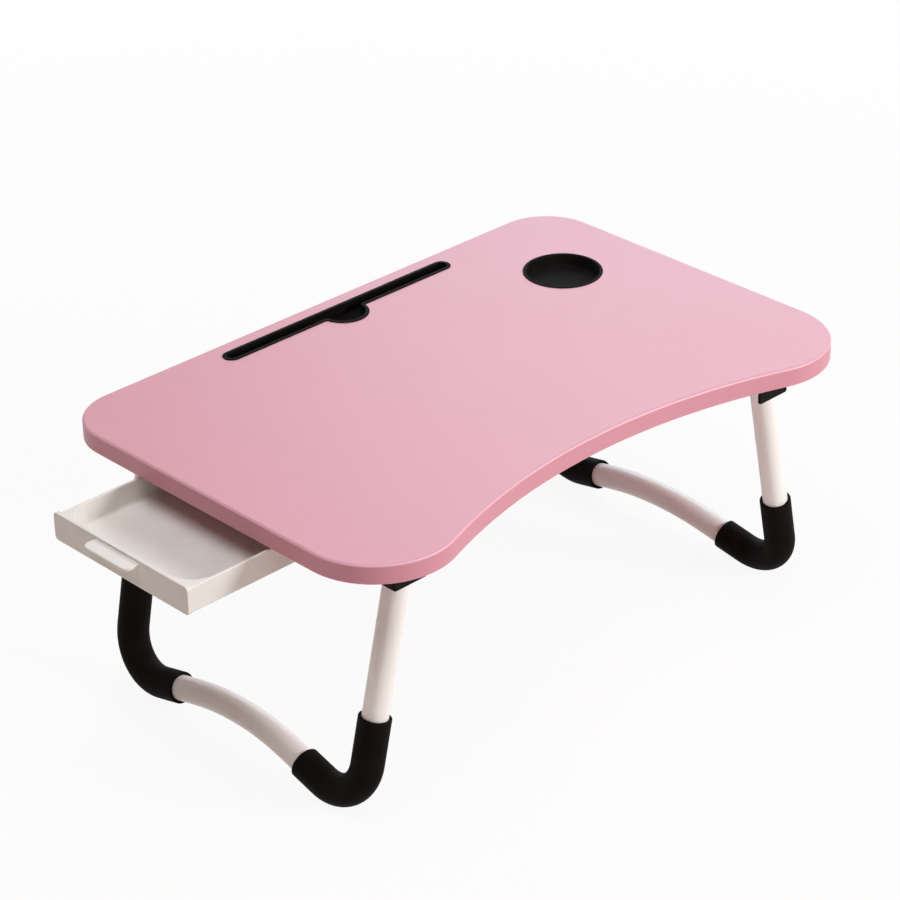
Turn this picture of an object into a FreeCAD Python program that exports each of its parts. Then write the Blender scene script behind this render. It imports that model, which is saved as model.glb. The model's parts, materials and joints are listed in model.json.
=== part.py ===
import FreeCAD, Part
import os
from math import sin, cos, tan, acos, atan2, radians, degrees, pi, hypot

# Folding lap table with a drawer, in millimetres. +Z is up and the feet stand on Z = 0.
# X runs along the long side of the board and the concave front edge faces -Y.
# The origin is on the floor, under the middle of the whole table with its drawer part open.

# Board
BOARD_L = 600.0
BOARD_W = 400.0
BOARD_T = 18.0
TOP = 268.0              # height of the board's top face
UNDER = TOP - BOARD_T    # height of its underside
BOARD_X = 50.0           # board centre, moved right because the open drawer sticks out at the left
REAR_R = 52.0            # corner radius at the back
FRONT_R = 70.5           # corner radius at the front
BELLY_Y = -157.5         # front edge at mid length
TOP_EDGE_R = 2.2
LOW_EDGE_R = 1.2
POCKET_GAP = 0.3         # cup insert to its pocket's wall

# Tablet slot insert, places counted from the board centre
SLOT_X, SLOT_Y = 6.2, 176.0
SLOT_L, SLOT_W = 276.0, 18.0     # outer size of the rim
NOTCH_R = 23.5                   # half-round finger notch on the front side
NOTCH_BACK = 6.0                 # notch centre in front of the slot's middle line
SLOT_RIM = 2.0                   # rim width outside the board's pocket
SLOT_RIM_H = 0.9
SLOT_RIM_EDGE = 0.6              # rounding of the rim's upper edges
SLOT_POCKET = 12.2               # pocket depth in the board
INSERT_WALL = 1.3
INSERT_FLOOR = 1.6
INSERT_GAP = 0.2                 # insert to pocket
NOTCH_SOFT = 3.0                 # rounding where the notch meets the slot

# Cup holder insert
CUP_X, CUP_Y, CUP_R = 207.2, 86.2, 37.75     # outer rim radius
CUP_POCKET = 11.0
CUP_FLOOR = 9.0                  # floor below the top face
CUP_BODY_R = CUP_R - 2.7
CUP_RING_R, CUP_RING_H = 26.0, 0.8           # raised ring on the floor
CUP_RING_HALF, CUP_RING_SLOPE = 1.4, 0.6     # its half width and the run of its slopes
CUP_FLOOR_R, CUP_WALL_LOW_R = 30.6, 32.0     # flat floor, then a chamfer up to the sloping wall
CUP_WALL_TOP_R, CUP_MOUTH_R = 34.0, 34.4
CUP_CREST_IN, CUP_CREST_OUT = 2.75, 1.1      # flat crest of the rim, counted in from its outer edge
CUP_CREST_H = 0.8                            # crest above the board

# Legs
LEG_Y = 11.4             # middle of legs and drawer, a little behind the board centre
HINGE_X = 222.0          # hinge axes from the board centre
HINGE_Z = TOP - 34.0
SPLAY = 12.2             # outward lean of the standing legs, degrees
LEG_HALF = 159.1         # half distance of the uprights at the hinge
TUBE_R, TUBE_WALL = 11.55, 1.2
TUBE_END = 5.2           # tube above the hinge axis
BEND_R = 39.3            # centreline radius of the lower bends
BEND_V = 116.1           # bend centre from the leg's middle
BAR_SLOPE = 12.6         # rise of the floor bar's ends, degrees
BAR_R = 282.8            # radius of the floor bar's arch
SLEEVE_R = 14.5
SLEEVE_UP = 141.5        # upper sleeve mouth, below the hinge axis along the leg
SLEEVE_BAR = 81.7        # inner sleeve mouth, from the leg's middle
SLEEVE_LIP = 0.7         # rounding of the sleeve's mouths
SLEEVE_FIT = 0.03
PLUG_DEPTH = 16.0        # pivot plug below the hinge axis
PLUG_CAP, PLUG_CAP_EDGE = 1.6, 1.0

# Hinge hardware
BOLT_R = 3.0
BORE_R = 3.05            # plug bore, running fit on the bolt
TUBE_HOLE_R = 3.4
BOLT_HOLE_R = 3.02
BOLT_HEAD_R, BOLT_HEAD_H, BOLT_HEAD_EDGE = 4.2, 1.8, 1.2
BOLT_SOCKET_R, BOLT_SOCKET_DEEP = 1.6, 1.5
BOLT_PAST_NUT = 1.7
NUT_FLAT, NUT_H = 10.0, 4.8

# Hinge brackets
CHEEK_T = 2.5
CHEEK_GAP_OUT = 0.5      # cheek to tube, on the side away from the leg's middle
CHEEK_GAP_IN = 1.5       # on the other side, where the leaning upright drifts to
CHEEK_OUT = TUBE_R + CHEEK_GAP_OUT + CHEEK_T     # outer faces of the cheeks from the tube's axis
CHEEK_IN = TUBE_R + CHEEK_GAP_IN + CHEEK_T
BRACKET_DROP = 31.2      # depth below the underside
BRACKET_X_IN, BRACKET_X_OUT = -17.2, 19.8    # ends of the cheeks from the hinge axis
BRACKET_LOW_R, BRACKET_SIDE_R = 2.5, 1.2     # rounding of the lower and of the outer upright edges
FLANGE_T, FLANGE_CORNER = 2.5, 4.0
FLANGE_IN, FLANGE_OUT = 7.3, 5.2     # flange beyond the cheeks' inner and outer ends
FLANGE_Y = 9.0                       # flange beyond the cheeks across them
INNER_CHEEK_UP = 6.0                 # the cheek towards the leg's middle is this much shorter
HOLE_ROW = 4.8                       # screw rows from the cheeks
HOLE_X_IN, HOLE_X_OUT = -19.0, 19.5  # screw columns from the hinge axis
PAD_DROP = 5.0           # stop pad below the hinge axis
STOP_GAP = 0.3           # stop pad to the standing leg
STOP_BACK = 3.0          # stop wall thickness above the pad

# Screws
SCREW_R, SCREW_HEAD_R, SCREW_HEAD_H, SCREW_HEAD_EDGE = 1.75, 3.4, 2.0, 1.2
CROSS_HALF, CROSS_ARM, CROSS_DEEP = 2.2, 0.45, 1.1       # cross recess in the screw heads
SCREW_HOLE_R = 1.9
PILOT_R, PILOT_DEPTH = 1.8, 10.5
SCREW_TIP = 10.0         # depth of the screw tips in the board

# Drawer, places along X counted from the board centre
DRAWER_FRONT = -385.2    # front face at rest
DRAWER_OUT = 87.2        # opening at rest
OPEN_MAX = 170.0         # opening at the stops
DRAWER_Y = 10.8          # middle of the drawer across the table
DRAWER_HALF = 85.0       # half width of the tray
DRAWER_LEN = 240.0
RIM_Z = TOP - 21.8
FLOOR_Z = TOP - 45.4
DRAWER_WALL, DRAWER_FLOOR = 2.6, 2.2
INNER_R, FLOOR_R = 26.0, 3.5     # rounding inside the tray: upright corners and along the floor
TRAY_LOW_R, TRAY_BACK_R = 1.5, 4.0       # outside: lower long edges and upright rear corners
RIM_R = 0.8                      # rounding of the tray's rim
PLATE_HALF = 86.9                # the front plate is a little wider and taller than the tray
PLATE_TOP, PLATE_LOW = TOP - 19.4, TOP - 45.6
PLATE_T = 4.2
PLATE_R, PLATE_EDGE = 4.0, 0.7
PULL_Y = 12.8
PULL_HALF, PULL_OUT, PULL_T, PULL_DROP = 28.8, 14.8, 3.0, 2.4
PULL_CORNER, PULL_EDGE = 7.0, 0.9
STRIP_START = 95.0       # runner strips start this far behind the front face
STRIP_END = 4.0          # and end this far before the back
STRIP_W, STRIP_T = 5.0, 2.0
STRIP_TOP = TOP - 22.6
BOSS_L, BOSS_GAP = 8.0, 0.6      # stop boss at the strip's rear end, gap to the board
FRONT_SCREW_Y, FRONT_SCREW_UP = 50.0, 1.0        # from the tray's middle, above its mid height
FRONT_SCREW_R, FRONT_HEAD_R, FRONT_HEAD_H, FRONT_HEAD_EDGE = 1.2, 2.6, 1.4, 0.8
FRONT_TIP, FRONT_BLIND = 1.0, 0.1        # screw tip behind the front face, gap in front of the tip
TRAY_HOLE_FIT, PLATE_HOLE_FIT = 0.15, 0.05       # radial room round the front screws

# Drawer rails
RAIL_X0, RAIL_X1 = -284.0, -50.0
LIP_TOP = TOP - 24.9     # lip that carries the runner strip
RAIL_T = 2.2
RAIL_IN, RAIL_WEB, RAIL_BACK, RAIL_FOOT = 1.0, 5.5, 8.0, 18.0    # faces counted from the drawer's side
RAIL_HOLE_END, RAIL_HOLE_COUNT = 14.0, 4
STOP_TAB_L = 6.0
STOP_TAB_Z = TOP - 22.1
SIDE_GAP = 0.3           # stop faces to the drawer's strips and bosses

V = FreeCAD.Vector
X_AXIS, Y_AXIS, Z_AXIS = V(1, 0, 0), V(0, 1, 0), V(0, 0, 1)
SIDES = {"left": -1, "right": 1}
ENDS = {"front": -1, "rear": 1}


def save(shape, name):
    shape.exportStep("parts/%s.step" % name)
    print(name, "valid", shape.isValid(), "solids", len(shape.Solids), "volume", round(shape.Volume, 1))


def box(x0, y0, z0, x1, y1, z1):
    return Part.makeBox(x1 - x0, y1 - y0, z1 - z0, V(x0, y0, z0))


def cyl(x, y, z, r, h, axis=Z_AXIS):
    return Part.makeCylinder(r, h, V(x, y, z), axis)


def plate(points, step):
    # Closed outline of points, extruded by the vector step.
    return Part.Face(Part.makePolygon(points + points[:1])).extrude(step)


def is_ring(edge, centre):
    return isinstance(edge.Curve, Part.Circle) and (edge.Curve.Center - centre).Length < 0.01


def round_rim(shape, centre, radius):
    # Round the circular edge of a turned piece that has the given centre.
    return shape.makeFillet(radius, [e for e in shape.Edges if is_ring(e, centre)])


def lies_at(edge, axis, value):
    return all(abs(v.Point[axis] - value) < 1e-6 for v in edge.Vertexes)


def runs_along(edge, axis):
    step = edge.Vertexes[-1].Point - edge.Vertexes[0].Point
    return step.Length > 0.1 and all(abs(step[k]) < 1e-6 for k in range(3) if k != axis)


# Tabletop board: straight back and ends, round corners and one concave arc, all tangent

def board_outline():
    half_l, half_w = BOARD_L / 2, BOARD_W / 2
    arc_x = half_l - FRONT_R                 # front corner centre
    arc_y = -half_w + FRONT_R
    rise = arc_y - BELLY_Y
    belly_r = (arc_x ** 2 + rise ** 2 - FRONT_R ** 2) / (2 * (FRONT_R - rise))
    meet = atan2(arc_y - BELLY_Y + belly_r, arc_x)       # direction from belly centre to corner centre
    meet_x, meet_y = arc_x - FRONT_R * cos(meet), arc_y - FRONT_R * sin(meet)
    turn = -degrees(pi - meet) / 2                       # middle of the front corner arc

    def p(x, y):
        return V(BOARD_X + x, y, UNDER)

    def mid(cx, cy, r, angle):
        return p(cx + r * cos(radians(angle)), cy + r * sin(radians(angle)))

    rear_x, rear_y = half_l - REAR_R, half_w - REAR_R
    edges = [
        Part.Arc(p(half_l, rear_y), mid(rear_x, rear_y, REAR_R, 45), p(rear_x, half_w)),
        Part.LineSegment(p(rear_x, half_w), p(-rear_x, half_w)),
        Part.Arc(p(-rear_x, half_w), mid(-rear_x, rear_y, REAR_R, 135), p(-half_l, rear_y)),
        Part.LineSegment(p(-half_l, rear_y), p(-half_l, arc_y)),
        Part.Arc(p(-half_l, arc_y), mid(-arc_x, arc_y, FRONT_R, 180 - turn), p(-meet_x, meet_y)),
        Part.Arc(p(-meet_x, meet_y), p(0, BELLY_Y), p(meet_x, meet_y)),
        Part.Arc(p(meet_x, meet_y), mid(arc_x, arc_y, FRONT_R, turn), p(half_l, arc_y)),
        Part.LineSegment(p(half_l, arc_y), p(half_l, rear_y)),
    ]
    return Part.Wire([e.toShape() for e in edges])


def tabletop_board(screw_places):
    body = Part.Face(board_outline()).extrude(V(0, 0, BOARD_T))
    body = body.makeFillet(TOP_EDGE_R, [e for e in body.Edges if lies_at(e, 2, TOP)])
    body = body.makeFillet(LOW_EDGE_R, [e for e in body.Edges if lies_at(e, 2, UNDER)])
    body = body.cut(slot_form(-SLOT_RIM, TOP - SLOT_POCKET, TOP + 5))
    body = body.cut(cyl(BOARD_X + CUP_X, CUP_Y, TOP - CUP_POCKET, CUP_BODY_R + POCKET_GAP, CUP_POCKET + 5))
    for x, y in screw_places:
        body = body.cut(cyl(x, y, UNDER - 1, PILOT_R, PILOT_DEPTH + 1))
    return body


# Tablet slot insert: rim on the board, trough in its pocket, open half-round notch

def slot_form(grow, z0, z1):
    x, height = BOARD_X + SLOT_X, z1 - z0
    r = SLOT_W / 2 + grow
    reach = SLOT_L / 2 - SLOT_W / 2
    body = box(x - reach, SLOT_Y - r, z0, x + reach, SLOT_Y + r, z1)
    for s in (-1, 1):
        body = body.fuse(cyl(x + s * reach, SLOT_Y, z0, r, height))
    notch = cyl(x, SLOT_Y - NOTCH_BACK, z0, NOTCH_R + grow, height)
    notch = notch.common(box(x - 2 * NOTCH_R, SLOT_Y - 2 * NOTCH_R, z0, x + 2 * NOTCH_R, SLOT_Y, z1))
    body = body.fuse(notch).removeSplitter()
    corners = [e for e in body.Edges if runs_along(e, 2) and abs(e.Vertexes[0].X - x) < 2 * NOTCH_R
               and e.Vertexes[0].Y < SLOT_Y - 1]
    return body.makeFillet(NOTCH_SOFT, corners)


def tablet_slot_insert():
    rim = slot_form(0.0, TOP, TOP + SLOT_RIM_H)
    rim = rim.makeFillet(SLOT_RIM_EDGE, [e for e in rim.Edges if lies_at(e, 2, TOP + SLOT_RIM_H)])
    outer = -SLOT_RIM - INSERT_GAP
    floor = TOP - SLOT_POCKET + INSERT_GAP
    trough = slot_form(outer, floor, TOP + SLOT_RIM_H / 2)
    hollow = slot_form(outer - INSERT_WALL, floor + INSERT_FLOOR, TOP + 5)
    return rim.fuse(trough).cut(hollow).removeSplitter()


# Cup holder insert: turned dish with a rim, a sloping wall and a raised ring on the floor

def cup_holder_insert():
    floor, low = TOP - CUP_FLOOR, TOP - CUP_POCKET + INSERT_GAP
    crest = TOP + CUP_CREST_H
    ring_in, ring_out = CUP_RING_R - CUP_RING_HALF, CUP_RING_R + CUP_RING_HALF
    section = [
        (0, floor), (ring_in, floor), (ring_in + CUP_RING_SLOPE, floor + CUP_RING_H),
        (ring_out - CUP_RING_SLOPE, floor + CUP_RING_H), (ring_out, floor), (CUP_FLOOR_R, floor),
        (CUP_WALL_LOW_R, floor + 0.8), (CUP_WALL_TOP_R, TOP - 0.6), (CUP_MOUTH_R, TOP + 0.3),
        (CUP_R - CUP_CREST_IN, crest), (CUP_R - CUP_CREST_OUT, crest), (CUP_R - 0.3, TOP + 0.6),
        (CUP_R, TOP), (CUP_BODY_R, TOP), (CUP_BODY_R, low), (0, low)]
    points = [V(r, 0, z) for r, z in section]
    dish = Part.Face(Part.makePolygon(points + points[:1])).revolve(V(0, 0, 0), Z_AXIS, 360)
    dish.translate(V(BOARD_X + CUP_X, CUP_Y, 0))
    return dish


# Leg centreline in the leg's own plane: v across the table, w up along the leg, hinge axis at w = 0.
# Upright, bend, rising straight, arch, and the same again on the other side.

LOW_W = -(HINGE_Z - SLEEVE_R) / cos(radians(SPLAY))      # so that the sleeves touch the floor
BEND_W = LOW_W + BEND_R
SLOPE = radians(BAR_SLOPE)
TURN = atan2(-BEND_W, LEG_HALF - BEND_V) - acos(BEND_R / hypot(LEG_HALF - BEND_V, BEND_W))
UP_V, UP_W = BEND_V + BEND_R * cos(TURN), BEND_W + BEND_R * sin(TURN)      # upright meets bend
LEAN = (LEG_HALF - UP_V) / -UP_W                                           # sideways drift per length
LOW_V, LOW_END_W = BEND_V - BEND_R * sin(SLOPE), BEND_W - BEND_R * cos(SLOPE)
ARCH_V = BAR_R * sin(SLOPE)
ARCH_W = LOW_END_W + (LOW_V - ARCH_V) * tan(SLOPE)
ARCH_MID_W = ARCH_W + BAR_R * (1 - cos(SLOPE))


def leg_point(v, w):
    return V(0, LEG_Y + v, HINGE_Z + w)


def upright_point(side, w):
    return leg_point(side * (LEG_HALF + LEAN * w), w)


def bar_point(side, v):
    return leg_point(side * v, LOW_END_W + (LOW_V - v) * tan(SLOPE))


def bend(side):
    mid = (TURN - pi / 2 - SLOPE) / 2
    return (leg_point(side * UP_V, UP_W),
            leg_point(side * (BEND_V + BEND_R * cos(mid)), BEND_W + BEND_R * sin(mid)),
            leg_point(side * LOW_V, LOW_END_W))


def wire_of(curves):
    return Part.Wire([c.toShape() for c in curves])


def pipe(path, start, towards, r_out, r_in):
    direction = (towards - start).normalize()
    shells = []
    for r in (r_out, r_in):
        ring = Part.Wire([Part.Circle(start, direction, r).toShape()])
        shells.append(path.makePipeShell([ring], True, False))
    return shells[0].cut(shells[1])


def leg_tube():
    top_a, top_b = upright_point(-1, TUBE_END), upright_point(1, TUBE_END)
    a, b = bend(-1), bend(1)
    arch = (leg_point(-ARCH_V, ARCH_W), leg_point(0, ARCH_MID_W), leg_point(ARCH_V, ARCH_W))
    path = wire_of([
        Part.LineSegment(top_a, a[0]), Part.Arc(*a), Part.LineSegment(a[2], arch[0]), Part.Arc(*arch),
        Part.LineSegment(arch[2], b[2]), Part.Arc(b[2], b[1], b[0]), Part.LineSegment(b[0], top_b)])
    body = pipe(path, top_a, a[0], TUBE_R, TUBE_R - TUBE_WALL)
    for side in ENDS.values():
        hole_y = LEG_Y + side * LEG_HALF - 2 * TUBE_R
        body = body.cut(cyl(0, hole_y, HINGE_Z, TUBE_HOLE_R, 4 * TUBE_R, Y_AXIS))
    return body


def foot_sleeve(side):
    top, low = upright_point(side, -SLEEVE_UP), bar_point(side, SLEEVE_BAR)
    a = bend(side)
    path = wire_of([Part.LineSegment(top, a[0]), Part.Arc(*a), Part.LineSegment(a[2], low)])
    body = pipe(path, top, a[0], SLEEVE_R, TUBE_R + SLEEVE_FIT)
    mouths = [e for e in body.Edges if is_ring(e, top) or is_ring(e, low)]
    return body.makeFillet(SLEEVE_LIP, [e for e in mouths if e.Curve.Radius > SLEEVE_R - 0.01])


def pivot_plug(side):
    # Fills the tube's upper end, caps its rim and carries the cross bore for the hinge bolt.
    top, low = upright_point(side, TUBE_END), upright_point(side, -PLUG_DEPTH)
    up = (top - low).normalize()
    core = Part.makeCylinder(TUBE_R - TUBE_WALL - SLEEVE_FIT, (top - low).Length, low, up)
    cap = round_rim(Part.makeCylinder(TUBE_R, PLUG_CAP, top, up), top + up * PLUG_CAP, PLUG_CAP_EDGE)
    bore_y = LEG_Y + side * LEG_HALF - 2 * TUBE_R
    return core.fuse(cap).removeSplitter().cut(cyl(0, bore_y, HINGE_Z, BORE_R, 4 * TUBE_R, Y_AXIS))


def stand(shape, side):
    # Lean a leg piece outwards about its hinge axis and move it to its end of the table.
    piece = shape.copy()
    piece.rotate(V(0, 0, HINGE_Z), Y_AXIS, -side * SPLAY)
    piece.translate(V(BOARD_X + side * HINGE_X, 0, 0))
    return piece


# Hinge bracket: flange under the board, two cheeks, a stop wall on the outer side, open to the inside.
# It is built for the right end and mirrored for the left one.

def cheek_line(end):
    return LEG_Y + end * LEG_HALF


def bracket_holes(end):
    rows = (cheek_line(end) + end * (CHEEK_OUT + HOLE_ROW), cheek_line(end) - end * (CHEEK_IN + HOLE_ROW))
    return [(HINGE_X + x, y) for x in (HOLE_X_IN, HOLE_X_OUT) for y in rows]


def stop_wall_outline(z_low):
    lean = radians(SPLAY)
    pad_top = HINGE_Z - PAD_DROP
    touch = HINGE_X + (TUBE_R + STOP_GAP) / cos(lean)
    outer = HINGE_X + BRACKET_X_OUT
    return [(outer, UNDER - FLANGE_T), (outer, z_low), (touch + (HINGE_Z - z_low) * tan(lean), z_low),
            (touch + (HINGE_Z - pad_top) * tan(lean), pad_top), (outer - STOP_BACK, pad_top + STOP_BACK),
            (outer - STOP_BACK, UNDER - FLANGE_T)]


def hinge_bracket(side, end):
    line = cheek_line(end)
    z_low, z_high = UNDER - BRACKET_DROP, UNDER - FLANGE_T
    x0, x1 = HINGE_X + BRACKET_X_IN, HINGE_X + BRACKET_X_OUT

    def slab(xa, xb, ya, yb, za, zb):
        y0, y1 = sorted((line + end * ya, line + end * yb))
        return box(xa, y0, za, xb, y1, zb)

    body = slab(x0 - FLANGE_IN, x1 + FLANGE_OUT, -CHEEK_IN - FLANGE_Y, CHEEK_OUT + FLANGE_Y, z_high, UNDER)
    body = body.makeFillet(FLANGE_CORNER, [e for e in body.Edges if runs_along(e, 2)])
    body = body.fuse(slab(x0, x1, CHEEK_OUT - CHEEK_T, CHEEK_OUT, z_low, z_high))
    body = body.fuse(slab(x0, x1, -CHEEK_IN, -CHEEK_IN + CHEEK_T, z_low + INNER_CHEEK_UP, z_high))
    y0, y1 = sorted((line + end * CHEEK_OUT, line - end * CHEEK_IN))
    body = body.fuse(plate([V(x, y0, z) for x, z in stop_wall_outline(z_low)], V(0, y1 - y0, 0)))
    body = body.removeSplitter()
    low = [e for e in body.Edges if runs_along(e, 1) and lies_at(e, 2, z_low)]
    body = body.makeFillet(BRACKET_LOW_R, [e for e in low if lies_at(e, 0, x0) or lies_at(e, 0, x1)])
    sides = [e for e in body.Edges if runs_along(e, 2) and lies_at(e, 0, x1)]
    body = body.makeFillet(BRACKET_SIDE_R, sides)
    body = body.cut(cyl(HINGE_X, line - 30, HINGE_Z, BOLT_HOLE_R, 60, Y_AXIS))
    for x, y in bracket_holes(end):
        body = body.cut(cyl(x, y, z_high - 1, SCREW_HOLE_R, FLANGE_T + 2))
    body.translate(V(BOARD_X, 0, 0))
    return body if side > 0 else body.mirror(V(BOARD_X, 0, 0), X_AXIS)


def hinge_bolt(side, end):
    start = V(BOARD_X + side * HINGE_X, cheek_line(end) + end * CHEEK_OUT, HINGE_Z)
    out, inwards = V(0, end, 0), V(0, -end, 0)
    shank = Part.makeCylinder(BOLT_R, CHEEK_OUT + CHEEK_IN + NUT_H + BOLT_PAST_NUT, start, inwards)
    face = start + out * BOLT_HEAD_H
    head = round_rim(Part.makeCylinder(BOLT_HEAD_R, BOLT_HEAD_H, start, out), face, BOLT_HEAD_EDGE)
    socket = Part.makeCylinder(BOLT_SOCKET_R, BOLT_SOCKET_DEEP, face, inwards)
    return shank.fuse(head).removeSplitter().cut(socket)


def hinge_nut(side, end):
    x, y = BOARD_X + side * HINGE_X, cheek_line(end) - end * CHEEK_IN
    r = NUT_FLAT / 2 / cos(pi / 6)
    corners = [V(x + r * cos(pi / 3 * k), y, HINGE_Z + r * sin(pi / 3 * k)) for k in range(6)]
    nut = plate(corners, V(0, -end * NUT_H, 0))
    return nut.cut(cyl(x, y - 2 * NUT_H, HINGE_Z, BOLT_HOLE_R, 4 * NUT_H, Y_AXIS))


def board_screw(x, y, z):
    # Pan head under z with a cross recess, shank up through the flange into the board.
    low = z - SCREW_HEAD_H
    head = round_rim(cyl(x, y, low, SCREW_HEAD_R, SCREW_HEAD_H), V(x, y, low), SCREW_HEAD_EDGE)
    arms = [box(x - a, y - b, low - 1, x + a, y + b, low + CROSS_DEEP)
            for a, b in ((CROSS_HALF, CROSS_ARM), (CROSS_ARM, CROSS_HALF))]
    recess = arms[0].fuse(arms[1])
    shank = cyl(x, y, z, SCREW_R, UNDER + SCREW_TIP - z)
    return shank.fuse(head).cut(recess).removeSplitter()


# Drawer rails: C-shaped, open to the drawer, with a stop at each end of the travel

CLOSED_BACK = DRAWER_FRONT + DRAWER_OUT + DRAWER_LEN
HOLE_STEP = (RAIL_X1 - RAIL_X0 - 2 * RAIL_HOLE_END) / (RAIL_HOLE_COUNT - 1)
RAIL_HOLES = [RAIL_X0 + RAIL_HOLE_END + k * HOLE_STEP for k in range(RAIL_HOLE_COUNT)]


def rail_hole_y(side):
    return DRAWER_Y + side * (DRAWER_HALF + (RAIL_BACK + RAIL_FOOT) / 2)


def side_slab(side, x0, x1, u0, u1, z0, z1):
    # Block beside the drawer, u counted outwards from the drawer's side face.
    y0, y1 = sorted((DRAWER_Y + side * (DRAWER_HALF + u0), DRAWER_Y + side * (DRAWER_HALF + u1)))
    return box(BOARD_X + x0, y0, z0, BOARD_X + x1, y1, z1)


def drawer_rail(side):
    low = LIP_TOP - RAIL_T
    body = side_slab(side, RAIL_X0, RAIL_X1, RAIL_WEB, RAIL_BACK, low, UNDER)
    body = body.fuse(side_slab(side, RAIL_X0, RAIL_X1, RAIL_IN, RAIL_WEB, low, LIP_TOP))
    body = body.fuse(side_slab(side, RAIL_X0, RAIL_X1, RAIL_BACK, RAIL_FOOT, UNDER - RAIL_T, UNDER))
    shut = CLOSED_BACK - STRIP_END + SIDE_GAP
    body = body.fuse(side_slab(side, shut, shut + STOP_TAB_L, RAIL_IN, RAIL_WEB, LIP_TOP, UNDER))
    out = CLOSED_BACK - STRIP_END - OPEN_MAX - BOSS_L - SIDE_GAP
    body = body.fuse(side_slab(side, out - STOP_TAB_L, out, RAIL_IN, RAIL_WEB, STOP_TAB_Z, UNDER))
    body = body.removeSplitter()
    for x in RAIL_HOLES:
        body = body.cut(cyl(BOARD_X + x, rail_hole_y(side), UNDER - RAIL_T - 1, SCREW_HOLE_R, RAIL_T + 2))
    return body


# Drawer: moulded tray with runner strips, front plate with a pull lip, two screws from inside

FACE_X = BOARD_X + DRAWER_FRONT
SIDE_LO, SIDE_HI = DRAWER_Y - DRAWER_HALF, DRAWER_Y + DRAWER_HALF


def drawer_tray():
    front, back = FACE_X + PLATE_T, FACE_X + DRAWER_LEN
    body = box(front, SIDE_LO, FLOOR_Z, back, SIDE_HI, RIM_Z)
    body = body.makeFillet(TRAY_LOW_R, [e for e in body.Edges if runs_along(e, 0) and lies_at(e, 2, FLOOR_Z)])
    rear = [e for e in body.Edges if runs_along(e, 2) and lies_at(e, 0, back)]
    body = body.makeFillet(TRAY_BACK_R, rear)
    inner = FLOOR_Z + DRAWER_FLOOR
    hollow = box(front + DRAWER_WALL, SIDE_LO + DRAWER_WALL, inner,
                 back - DRAWER_WALL, SIDE_HI - DRAWER_WALL, RIM_Z + 20)
    hollow = hollow.makeFillet(INNER_R, [e for e in hollow.Edges if runs_along(e, 2)])
    hollow = hollow.makeFillet(FLOOR_R, [e for e in hollow.Edges if lies_at(e, 2, inner)])
    body = body.cut(hollow)
    rim = [e for e in body.Edges if lies_at(e, 2, RIM_Z) and not lies_at(e, 0, front)]
    body = body.makeFillet(RIM_R, rim)
    strip_x0, strip_x1 = DRAWER_FRONT + STRIP_START, DRAWER_FRONT + DRAWER_LEN - STRIP_END
    low, boss_top = STRIP_TOP - STRIP_T, UNDER - BOSS_GAP
    for side in ENDS.values():
        body = body.fuse(side_slab(side, strip_x0, strip_x1, -1.0, STRIP_W, low, STRIP_TOP))
        body = body.fuse(side_slab(side, strip_x1 - BOSS_L, strip_x1, SIDE_GAP, STRIP_W, low, boss_top))
    body = body.removeSplitter()
    for side in ENDS.values():
        y, z = front_screw_place(side)
        body = body.cut(cyl(front - 1, y, z, FRONT_SCREW_R + TRAY_HOLE_FIT, DRAWER_WALL + 2, X_AXIS))
    return body


def drawer_front():
    body = box(FACE_X, DRAWER_Y - PLATE_HALF, PLATE_LOW, FACE_X + PLATE_T, DRAWER_Y + PLATE_HALF, PLATE_TOP)
    body = body.makeFillet(PLATE_R, [e for e in body.Edges if runs_along(e, 0)])
    body = body.makeFillet(PLATE_EDGE, [e for e in body.Edges if lies_at(e, 0, FACE_X)])
    pull_top = PLATE_TOP - PULL_DROP
    pull_low, pull_x = pull_top - PULL_T, FACE_X - PULL_OUT
    pull = box(pull_x, PULL_Y - PULL_HALF, pull_low, FACE_X + 1, PULL_Y + PULL_HALF, pull_top)
    corners = [e for e in pull.Edges if runs_along(e, 2) and lies_at(e, 0, pull_x)]
    pull = pull.makeFillet(PULL_CORNER, corners)
    rims = [e for e in pull.Edges if lies_at(e, 2, pull_top) or lies_at(e, 2, pull_low)]
    pull = pull.makeFillet(PULL_EDGE, [e for e in rims if not lies_at(e, 0, FACE_X + 1)])
    body = body.fuse(pull).removeSplitter()
    for side in ENDS.values():
        y, z = front_screw_place(side)
        start = FACE_X + FRONT_TIP - FRONT_BLIND
        body = body.cut(cyl(start, y, z, FRONT_SCREW_R + PLATE_HOLE_FIT, PLATE_T, X_AXIS))
    return body


def front_screw_place(side):
    return DRAWER_Y + side * FRONT_SCREW_Y, (RIM_Z + FLOOR_Z) / 2 + FRONT_SCREW_UP


def front_screw(side):
    y, z = front_screw_place(side)
    head_x = FACE_X + PLATE_T + DRAWER_WALL
    head = cyl(head_x, y, z, FRONT_HEAD_R, FRONT_HEAD_H, X_AXIS)
    head = round_rim(head, V(head_x + FRONT_HEAD_H, y, z), FRONT_HEAD_EDGE)
    tip_x = FACE_X + FRONT_TIP
    return cyl(tip_x, y, z, FRONT_SCREW_R, head_x - tip_x, X_AXIS).fuse(head).removeSplitter()


# Write every piece

os.makedirs("parts", exist_ok=True)

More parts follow.
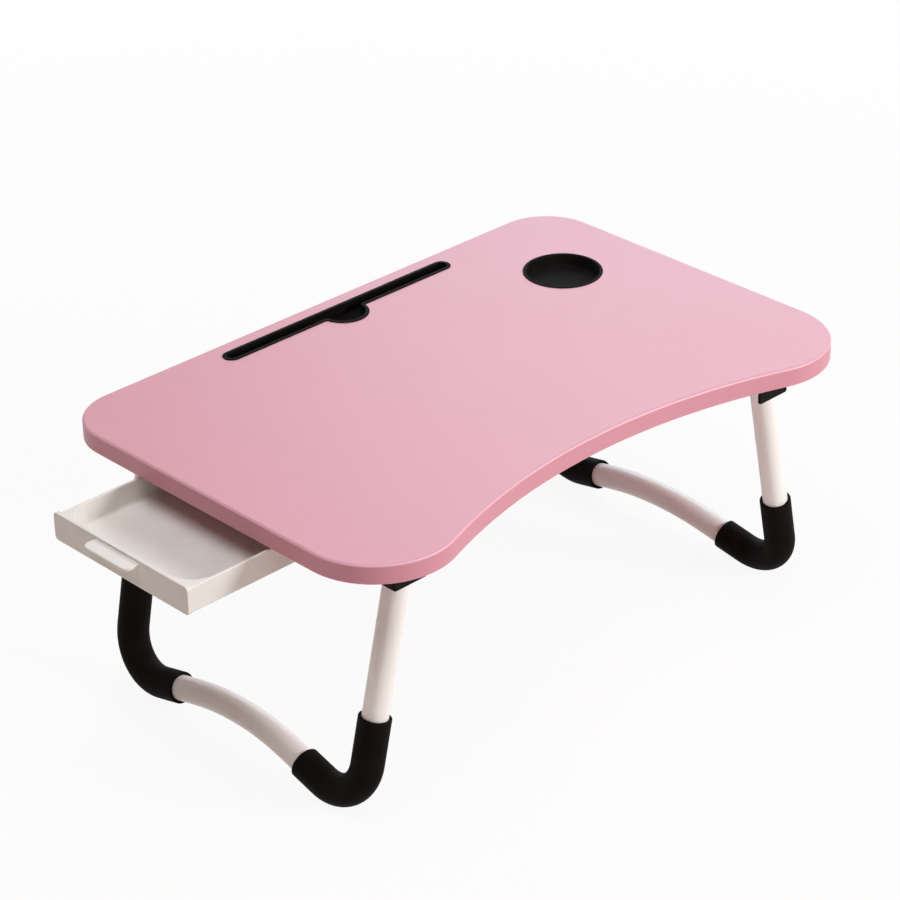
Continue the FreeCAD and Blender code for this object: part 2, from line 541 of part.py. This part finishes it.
tube = leg_tube()
plugs = Part.makeCompound([pivot_plug(end) for end in ENDS.values()])
bracket_places = []
for side_name, side in SIDES.items():
    save(stand(tube, side), side_name + "_leg_tube")
    save(stand(plugs, side), side_name + "_pivot_plugs")
    for end_name, end in ENDS.items():
        save(stand(foot_sleeve(end), side), "%s_foot_sleeve_%s" % (side_name, end_name))
        save(hinge_bracket(side, end), "hinge_bracket_%s_%s" % (side_name, end_name))
        bracket_places += [(BOARD_X + side * x, y) for x, y in bracket_holes(end)]
    save(Part.makeCompound([hinge_bolt(side, end) for end in ENDS.values()]), "hinge_bolts_" + side_name)
    save(Part.makeCompound([hinge_nut(side, end) for end in ENDS.values()]), "hinge_nuts_" + side_name)

rail_places = [(BOARD_X + x, rail_hole_y(end)) for end in ENDS.values() for x in RAIL_HOLES]
for end_name, end in ENDS.items():
    save(drawer_rail(end), "drawer_rail_" + end_name)
save(Part.makeCompound([board_screw(x, y, UNDER - FLANGE_T) for x, y in bracket_places]), "bracket_screws")
save(Part.makeCompound([board_screw(x, y, UNDER - RAIL_T) for x, y in rail_places]), "rail_screws")

save(drawer_tray(), "drawer_tray")
save(drawer_front(), "drawer_front")
save(Part.makeCompound([front_screw(end) for end in ENDS.values()]), "drawer_front_screws")

save(tablet_slot_insert(), "tablet_slot_insert")
save(cup_holder_insert(), "cup_holder_insert")
save(tabletop_board(bracket_places + rail_places), "tabletop_board")
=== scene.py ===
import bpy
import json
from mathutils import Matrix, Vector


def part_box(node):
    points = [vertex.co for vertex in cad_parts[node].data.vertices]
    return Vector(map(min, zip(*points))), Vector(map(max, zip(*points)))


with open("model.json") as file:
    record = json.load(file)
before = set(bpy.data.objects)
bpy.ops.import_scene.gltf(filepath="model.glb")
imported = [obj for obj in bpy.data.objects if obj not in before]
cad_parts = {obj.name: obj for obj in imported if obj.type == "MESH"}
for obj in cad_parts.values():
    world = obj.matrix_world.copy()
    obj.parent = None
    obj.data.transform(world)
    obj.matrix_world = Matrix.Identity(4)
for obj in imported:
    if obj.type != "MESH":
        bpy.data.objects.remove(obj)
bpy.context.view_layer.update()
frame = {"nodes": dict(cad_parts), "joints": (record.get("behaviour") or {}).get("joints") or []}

import json
from math import cos, radians, sin
import bpy
from mathutils import Matrix, Vector

# Camera
# The table is seen from its front left corner, from above and through a long lens.
# From looking straight down, the camera is turned to the right, tilted up and rolled a little.
CAMERA_PLACE = (-1.6048, -1.7281, 1.5220)
CAMERA_TURN, CAMERA_TILT, CAMERA_ROLL = radians(-43.3385), radians(60.9312), radians(-1.1196)
SENSOR_WIDTH, LENS = 36.0, 122.77
camera = bpy.data.objects.new("camera", bpy.data.cameras.new("camera"))
camera.data.sensor_width = SENSOR_WIDTH
camera.data.lens = LENS
turn = Matrix.Rotation(CAMERA_TURN, 4, "Z")
tilt = Matrix.Rotation(CAMERA_TILT, 4, "X")
roll = Matrix.Rotation(CAMERA_ROLL, 4, "Z")
camera.matrix_world = Matrix.Translation(CAMERA_PLACE) @ turn @ tilt @ roll
bpy.context.scene.collection.objects.link(camera)
bpy.context.scene.camera = camera
bpy.context.scene.view_settings.view_transform = "Standard"


# Floor, backdrop and light
# A pale floor that turns plain white away from the table, and a soft even sky.
# One lamp stands low at the front right, a wide one hangs overhead and a weak one is at the back right.
FLOOR_REACH = 8
FLOOR_TONES = (0.89, 0.8, 0.75), (0.93, 0.84, 0.79)
MOTTLE_SCALE = 3.0
SHADOW_SHARE, PLAIN_SHARE = 0.92, 0.99
SHADOW_END, PLAIN_START = 0.5, 1.8
SKY = {"Color": (1.0, 0.72, 0.58), "Strength": 0.15}
PLAIN_WHITE = {"Color": (1.0, 1.0, 1.0), "Strength": 1.0}
# Each row holds a lamp's name, its place, the point that it is aimed at, its width, its watts and its color.
LAMPS = (
    ("front_right_lamp", (1.45, -2.9, 1.55), (0.05, 0, 0.15), 1.0, 76, (0.98, 0.99, 1.0)),
    ("overhead_lamp", (-0.6, -0.4, 3.0), (0.0, 0, 0.2), 2.2, 46, (0.99, 0.99, 1.0)),
    ("back_right_lamp", (2.6, 1.8, 1.65), (0.1, 0, 0.25), 2.3, 39, (0.7, 0.89, 1.0)),
)


def fill(tree, node, inputs):
    # Each input gets a link from another node, a color or a number.
    for name, value in inputs.items():
        socket = node.inputs[name]
        if isinstance(value, bpy.types.NodeSocket):
            tree.links.new(value, socket)
        elif socket.type == "RGBA":
            socket.default_value = (*value, 1)
        else:
            socket.default_value = value
    return node


def add_node(tree, kind, inputs=None, **settings):
    node = tree.nodes.new("ShaderNode" + kind)
    for name, value in settings.items():
        setattr(node, name, value)
    return fill(tree, node, inputs or {})


def calculate(tree, operation, *values, **settings):
    return add_node(tree, "Math", dict(enumerate(values)), operation=operation, **settings).outputs[0]


def seen_share(tree, share):
    # The share of plain white that the camera, reflections and clear things see.
    # The floor near the table has less of it, so that its shadow shows.
    path = add_node(tree, "LightPath")
    seen = path.outputs["Is Camera Ray"]
    for ray in ("Is Glossy Ray", "Is Transmission Ray"):
        seen = calculate(tree, "MAXIMUM", seen, path.outputs[ray])
    return calculate(tree, "MULTIPLY", seen, share)


floor_corners = [(x * FLOOR_REACH, y * FLOOR_REACH, 0) for x, y in ((-1, -1), (1, -1), (1, 1), (-1, 1))]
floor_mesh = bpy.data.meshes.new("floor")
floor_mesh.from_pydata(floor_corners, [], [(0, 1, 2, 3)])
floor = bpy.data.objects.new("floor", floor_mesh)
bpy.context.scene.collection.objects.link(floor)
floor_finish = bpy.data.materials.new("pale_floor")
floor_finish.use_nodes = True
tree = floor_finish.node_tree
tree.nodes.remove(tree.nodes["Principled BSDF"])
mottle = add_node(tree, "TexNoise", {"Scale": MOTTLE_SCALE})
pale = add_node(tree, "ValToRGB", {"Fac": mottle.outputs["Fac"]})
for stop, tone in zip(pale.color_ramp.elements, FLOOR_TONES):
    stop.color = (*tone, 1)
matt = add_node(tree, "BsdfDiffuse", {"Color": pale.outputs["Color"]})
white = add_node(tree, "Emission", PLAIN_WHITE)
ground = add_node(tree, "TexCoord")
far = add_node(tree, "VectorMath", {0: ground.outputs["Object"]}, operation="LENGTH")
shares = {"From Min": SHADOW_END, "From Max": PLAIN_START, "To Min": SHADOW_SHARE, "To Max": PLAIN_SHARE}
plainness = add_node(tree, "MapRange", {"Value": far.outputs["Value"], **shares})
share = seen_share(tree, plainness.outputs["Result"])
mixed = add_node(tree, "MixShader", {0: share, 1: matt.outputs[0], 2: white.outputs[0]})
fill(tree, tree.nodes["Material Output"], {"Surface": mixed.outputs[0]})
floor.data.materials.append(floor_finish)

world = bpy.data.worlds.new("sky")
bpy.context.scene.world = world
world.use_nodes = True
tree = world.node_tree
sky = fill(tree, tree.nodes["Background"], SKY)
plain = add_node(tree, "Background", PLAIN_WHITE)
share = seen_share(tree, PLAIN_SHARE)
mixed = add_node(tree, "MixShader", {0: share, 1: sky.outputs[0], 2: plain.outputs[0]})
fill(tree, tree.nodes["World Output"], {"Surface": mixed.outputs[0]})


def add_lamp(name, place, target, width, watts, color):
    lamp = bpy.data.objects.new(name, bpy.data.lights.new(name, "AREA"))
    lamp.data.shape = "DISK"
    lamp.data.size = width
    lamp.data.energy = watts
    lamp.data.color = color
    lamp.location = place
    lamp.rotation_euler = (Vector(target) - Vector(place)).to_track_quat("-Z", "Y").to_euler()
    bpy.context.scene.collection.objects.link(lamp)


for lamp_row in LAMPS:
    add_lamp(*lamp_row)


# Tabletop board
# Fibreboard wrapped in pink foil, with a hollow front edge and a rounded upper edge. A painted highlight
# makes the foil paler on that rounding and painted shade makes it deeper on the band, and the pockets and
# screw holes show the raw brown board.
FOIL_SURFACE = {"IOR": 1.5, "Specular IOR Level": 0.45}
FOIL_GRAIN, FOIL_ROUGHNESS = 1400.0, (0.39, 0.43)
FOIL_RELIEF = {"Strength": 0.18, "Distance": 0.0004}
PINK, DEEP_PINK = (0.7, 0.318, 0.392), (0.685, 0.303, 0.376)
# The paler pink is a painted highlight for the rounded upper edge, and the deeper one is painted shade for
# the upright band.
HIGHLIGHT_PINK, SHADED_BAND_PINK = (0.77, 0.44, 0.52), (0.655, 0.28, 0.345)
ROUNDING_TILT = {"Low": 0.15, "High": 0.97, "Blur": 0.2}
BAND_TILT = {"Low": -0.25, "High": 0.25, "Blur": 0.1}
RAW_BOARD, RAW_DARK = (0.42, 0.29, 0.18), (0.28, 0.185, 0.11)
FIBRES = {"Scale": 2600.0, "Detail": 4.0}
# Along X, Y and Z, how far inside the two ends of the board the raw part lies, and the blur of its border.
RAW_INSETS = (0.055, 0.055, 0.001), (0.05, 0.01, 0.001), (0.0002, 0.0002, 0.0001)
FINE_NOISE = {"Detail": 3.0, "Roughness": 0.6}
WIDE_NOISE = {"Detail": 4.0, "Roughness": 0.55}
WIDE_TO_FINE = 0.02      # the patches are fifty times as wide as the grain
NOISE_LOW, NOISE_HIGH = 0.3, 0.7      # most of a noise lies between these
FIRST_COLOR, SECOND_COLOR, MIXED_COLOR = 6, 7, 2      # a mix node's sockets for colors


def start_group(name, inputs, outputs):
    # Gives the group, the node that takes its results, and one socket for each of its inputs.
    group = bpy.data.node_groups.new(name, "ShaderNodeTree")
    for title, kind in inputs.items():
        group.interface.new_socket(title, in_out="INPUT", socket_type="NodeSocket" + kind)
    for title, kind in outputs.items():
        group.interface.new_socket(title, in_out="OUTPUT", socket_type="NodeSocket" + kind)
    given = group.nodes.new("NodeGroupInput")
    return group, group.nodes.new("NodeGroupOutput"), *(given.outputs[title] for title in inputs)


grain_group, result, vector, scale = start_group(
    "moulded_grain", {"Vector": "Vector", "Scale": "Float"}, {"Height": "Float", "Patches": "Float"})
fine = add_node(grain_group, "TexNoise", {"Vector": vector, "Scale": scale, **FINE_NOISE})
wide_scale = calculate(grain_group, "MULTIPLY", scale, WIDE_TO_FINE)
wide = add_node(grain_group, "TexNoise", {"Vector": vector, "Scale": wide_scale, **WIDE_NOISE})
fill(grain_group, result, {"Height": fine.outputs["Fac"], "Patches": wide.outputs["Fac"]})

band_group, result, value, low, high, blur = start_group(
    "inside_band", {"Value": "Float", "Low": "Float", "High": "Float", "Blur": "Float"}, {"Mask": "Float"})
middle = calculate(band_group, "MULTIPLY", calculate(band_group, "ADD", low, high), 0.5)
half = calculate(band_group, "SUBTRACT", high, middle)
away = calculate(band_group, "ABSOLUTE", calculate(band_group, "SUBTRACT", value, middle))
left = calculate(band_group, "SUBTRACT", half, away)
fill(band_group, result, {"Mask": calculate(band_group, "DIVIDE", left, blur, use_clamp=True)})


def new_finish(name, surface, grain_scale):
    material = bpy.data.materials.new(name)
    material.use_nodes = True
    tree = material.node_tree
    shader = fill(tree, tree.nodes["Principled BSDF"], surface)
    where = add_node(tree, "TexCoord").outputs["Object"]
    grain = add_node(tree, "Group", {"Vector": where, "Scale": grain_scale}, node_tree=grain_group)
    return material, tree, shader, grain.outputs["Height"], grain.outputs["Patches"]


def blend_colors(tree, mask, first, second):
    mix = add_node(tree, "Mix", {"Factor": mask, FIRST_COLOR: first, SECOND_COLOR: second}, data_type="RGBA")
    return mix.outputs[MIXED_COLOR]


def inside(tree, value, band):
    return add_node(tree, "Group", {"Value": value, **band}, node_tree=band_group).outputs["Mask"]


def spread(tree, noise, low=0.0, high=1.0):
    ends = {"From Min": NOISE_LOW, "From Max": NOISE_HIGH, "To Min": low, "To Max": high}
    return add_node(tree, "MapRange", {"Value": noise, **ends}).outputs["Result"]


def emboss(tree, height, relief):
    return add_node(tree, "Bump", {"Height": height, **relief}).outputs["Normal"]


def dress(material, *names):
    for name in names:
        frame["nodes"][name].data.materials.clear()
        frame["nodes"][name].data.materials.append(material)


foil, tree, shader, height, patches = new_finish("pink_foil", FOIL_SURFACE, FOIL_GRAIN)
where = add_node(tree, "TexCoord")
facing = add_node(tree, "SeparateXYZ", {0: where.outputs["Normal"]})
pink = blend_colors(tree, spread(tree, patches), DEEP_PINK, PINK)
# Painted highlight: the rounded upper edge turns paler.
pink = blend_colors(tree, inside(tree, facing.outputs["Z"], ROUNDING_TILT), pink, HIGHLIGHT_PINK)
# Painted shade: the upright band turns a deeper pink.
pink = blend_colors(tree, inside(tree, facing.outputs["Z"], BAND_TILT), pink, SHADED_BAND_PINK)
place = add_node(tree, "SeparateXYZ", {0: where.outputs["Object"]})
raw = 1.0
for along, start, end, insets in zip(place.outputs, *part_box("tabletop_board"), RAW_INSETS):
    start_inset, end_inset, blur = insets
    band = {"Low": start + start_inset, "High": end - end_inset, "Blur": blur}
    raw = calculate(tree, "MULTIPLY", inside(tree, along, band), raw)
fibres = add_node(tree, "TexNoise", {"Vector": where.outputs["Object"], **FIBRES})
board_brown = blend_colors(tree, spread(tree, fibres.outputs["Fac"]), RAW_DARK, RAW_BOARD)
fill(tree, shader, {"Base Color": blend_colors(tree, raw, pink, board_brown),
                    "Roughness": spread(tree, patches, *FOIL_ROUGHNESS),
                    "Normal": emboss(tree, height, FOIL_RELIEF)})
dress(foil, "tabletop_board")


# Tablet slot and cup insert
# Two black moulded plastic trays pressed into the board's pockets, each with a thin rim on top.
# The mould leaves a fine matt grain, and every edge is a little smoother and paler, partly from wear and
# partly as a painted highlight.
BLACK_MOULD = {"refraction": 1.5, "relief": {"Strength": 0.45, "Distance": 0.0003},
               "worn_highlight_tone": (0.03, 0.028, 0.027), "smoothing": 0.3}
INSERT_LOOK = {**BLACK_MOULD, "gloss": 0.02, "tones": ((0.005, 0.004, 0.004), (0.009, 0.008, 0.007)),
               "roughness": (0.5, 0.62), "grain_scale": 3000.0}
WEAR_HIGHLIGHT_WIDTH, WEAR_HIGHLIGHT_SAMPLES = 0.0006, 4
# The cosine of the angle by which the rounded edge turns away where the worn and highlighted edge starts and
# where it is full.
WEAR_HIGHLIGHT_TURN = {"From Min": 0.99, "From Max": 0.8}
# Edge mask for the wear and the painted highlight on every edge.
wear_highlight_group, result, width, patches = start_group(
    "wear_highlight_edge", {"Width": "Float", "Patches": "Float"}, {"Mask": "Float"})
rounded = add_node(wear_highlight_group, "Bevel", {"Radius": width}, samples=WEAR_HIGHLIGHT_SAMPLES)
face = add_node(wear_highlight_group, "NewGeometry")
same = add_node(wear_highlight_group, "VectorMath", {0: rounded.outputs["Normal"], 1: face.outputs["Normal"]},
                operation="DOT_PRODUCT")
turned = add_node(wear_highlight_group, "MapRange", {"Value": same.outputs["Value"], **WEAR_HIGHLIGHT_TURN})
fill(wear_highlight_group, result, {"Mask": calculate(wear_highlight_group, "MULTIPLY", turned.outputs["Result"], patches)})


def moulded(name, refraction, gloss, tones, roughness, grain_scale, relief, worn_highlight_tone, smoothing):
    surface = {"IOR": refraction, "Specular IOR Level": gloss}
    material, tree, shader, height, patches = new_finish(name, surface, grain_scale)
    wear_highlight_node = add_node(tree, "Group", {"Width": WEAR_HIGHLIGHT_WIDTH, "Patches": patches}, node_tree=wear_highlight_group)
    wear_highlight = wear_highlight_node.outputs["Mask"]
    color = blend_colors(tree, spread(tree, patches), *tones)
    matt = spread(tree, patches, *roughness)
    # The edges get the paler tone, partly wear and partly a painted highlight.
    fill(tree, shader, {"Base Color": blend_colors(tree, wear_highlight, color, worn_highlight_tone),
                        "Roughness": calculate(tree, "MULTIPLY_ADD", wear_highlight, -smoothing, matt),
                        "Normal": emboss(tree, height, relief)})
    return material


insert_black = moulded("insert_black", **INSERT_LOOK)
dress(insert_black, "tablet_slot_insert", "cup_holder_insert")


# Hinge brackets
# Four black moulded plastic hoods, each held under the board by four screws.
# Their outer wall is the stop that the standing leg leans on.
BRACKET_LOOK = {**BLACK_MOULD, "gloss": 0.06, "tones": ((0.006, 0.004, 0.004), (0.01, 0.008, 0.007)),
                "roughness": (0.5, 0.62), "grain_scale": 2400.0}
bracket_black = moulded("bracket_black", **BRACKET_LOOK)
dress(bracket_black, "hinge_bracket_left_front", "hinge_bracket_left_rear",
      "hinge_bracket_right_front", "hinge_bracket_right_rear")


# Screws, hinge bolts and nuts
# The screws are zinc plated steel with a fine dull grain.
# The hinge bolts and their nuts are blackened, so that they hardly show against the brackets.
STEEL_SURFACE = {"Metallic": 1.0}
PLATING_GRAIN = 5000.0
PLATING_RELIEF = {"Strength": 0.2, "Distance": 0.0001}
ZINC_TONES, ZINC_ROUGHNESS = ((0.5, 0.5, 0.49), (0.68, 0.68, 0.66)), (0.25, 0.45)
BLACKENED_TONES, BLACKENED_ROUGHNESS = ((0.03, 0.029, 0.028), (0.055, 0.052, 0.05)), (0.4, 0.6)


def plated_steel(name, tones, roughness):
    material, tree, shader, height, patches = new_finish(name, STEEL_SURFACE, PLATING_GRAIN)
    fill(tree, shader, {"Base Color": blend_colors(tree, spread(tree, patches), *tones),
                        "Roughness": spread(tree, height, *roughness),
                        "Normal": emboss(tree, height, PLATING_RELIEF)})
    return material


zinc = plated_steel("zinc_plated_steel", ZINC_TONES, ZINC_ROUGHNESS)
dress(zinc, "bracket_screws", "rail_screws", "drawer_front_screws")
blackened = plated_steel("blackened_steel", BLACKENED_TONES, BLACKENED_ROUGHNESS)
dress(blackened, "hinge_bolts_left", "hinge_bolts_right", "hinge_nuts_left", "hinge_nuts_right")


# Drawer rails
# Two black moulded channels, each held under the board by four screws.
# The drawer's runner strips slide on their lower lips, between a tab at each end.
dress(insert_black, "drawer_rail_front", "drawer_rail_rear")


# Leg tubes
# One steel tube for each leg, bent at both feet and arched between them.
# The white powder coat leaves a slight orange-peel surface.
COAT_SURFACE = {"IOR": 1.5, "Specular IOR Level": 0.3, "Coat Weight": 0.2, "Coat Roughness": 0.25}
COAT_TONES, COAT_ROUGHNESS = ((0.92, 0.9, 0.875), (0.95, 0.935, 0.915)), (0.3, 0.4)
COAT_GRAIN = 700.0
COAT_RELIEF = {"Strength": 0.3, "Distance": 0.0005}
coat, tree, shader, height, patches = new_finish("white_powder_coat", COAT_SURFACE, COAT_GRAIN)
fill(tree, shader, {"Base Color": blend_colors(tree, spread(tree, patches), *COAT_TONES),
                    "Roughness": spread(tree, patches, *COAT_ROUGHNESS),
                    "Normal": emboss(tree, height, COAT_RELIEF)})
dress(coat, "left_leg_tube", "right_leg_tube")


# Foot sleeves
# Black rubber sleeves pushed over the two lower bends of each leg, so that the table does not slip.
# The two halves of their mould leave a fine ridge all round, in the plane of the leg.
RUBBER_LOOK = {**BLACK_MOULD, "gloss": 0.03, "tones": ((0.005, 0.004, 0.004), (0.009, 0.007, 0.006)),
               "roughness": (0.55, 0.7), "grain_scale": 1800.0}
RIDGE = {"Low": -0.0006, "High": 0.0006, "Blur": 0.0005}
RIDGE_RELIEF = {"Strength": 0.7, "Distance": 0.0004}
LEG_LEAN = radians(12.2)
hinges = {joint["name"]: Vector(joint["pos_m"]) for joint in frame["joints"] if joint["type"] == "hinge"}
hinge_middle = (hinges["left_leg_fold"] + hinges["right_leg_fold"]) / 2
hinge_out = hinges["right_leg_fold"].x - hinge_middle.x
rubber = moulded("sleeve_rubber", **RUBBER_LOOK)
tree = rubber.node_tree
shader = tree.nodes["Principled BSDF"]
where = add_node(tree, "TexCoord").outputs["Object"]
place = add_node(tree, "SeparateXYZ", {0: where})
from_middle = calculate(tree, "ABSOLUTE", calculate(tree, "SUBTRACT", place.outputs["X"], hinge_middle.x))
past_hinge = calculate(tree, "SUBTRACT", from_middle, hinge_out)
above_hinge = calculate(tree, "SUBTRACT", place.outputs["Z"], hinge_middle.z)
leaned = calculate(tree, "MULTIPLY", above_hinge, sin(LEG_LEAN))
off_plane = calculate(tree, "MULTIPLY_ADD", past_hinge, cos(LEG_LEAN), leaned)
grained = shader.inputs["Normal"].links[0].from_socket
ridge_relief = {"Normal": grained, **RIDGE_RELIEF}
fill(tree, shader, {"Normal": emboss(tree, inside(tree, off_plane, RIDGE), ridge_relief)})
dress(rubber, "left_foot_sleeve_front", "left_foot_sleeve_rear",
      "right_foot_sleeve_front", "right_foot_sleeve_rear")


# Pivot plugs
# Black moulded plugs pressed into the upper tube ends, with a thin cap over the rim.
# They are drilled across, and turn on the hinge bolts.
dress(bracket_black, "left_pivot_plugs", "right_pivot_plugs")


# Drawer
# A white moulded tray with runner strips along its rear part, open above.
# A separate front plate with the pull lip is screwed on from inside the tray.
# The drawer's paler edge tone is partly wear and partly a painted highlight.
DRAWER_LOOK = {"refraction": 1.48, "relief": {"Strength": 0.25, "Distance": 0.0003},
               "worn_highlight_tone": (0.87, 0.86, 0.84), "smoothing": 0.2,
               "gloss": 0.3, "tones": ((0.8, 0.775, 0.74), (0.84, 0.815, 0.78)),
               "roughness": (0.38, 0.5), "grain_scale": 1600.0}
white_plastic = moulded("white_drawer_plastic", **DRAWER_LOOK)
dress(white_plastic, "drawer_tray", "drawer_front")
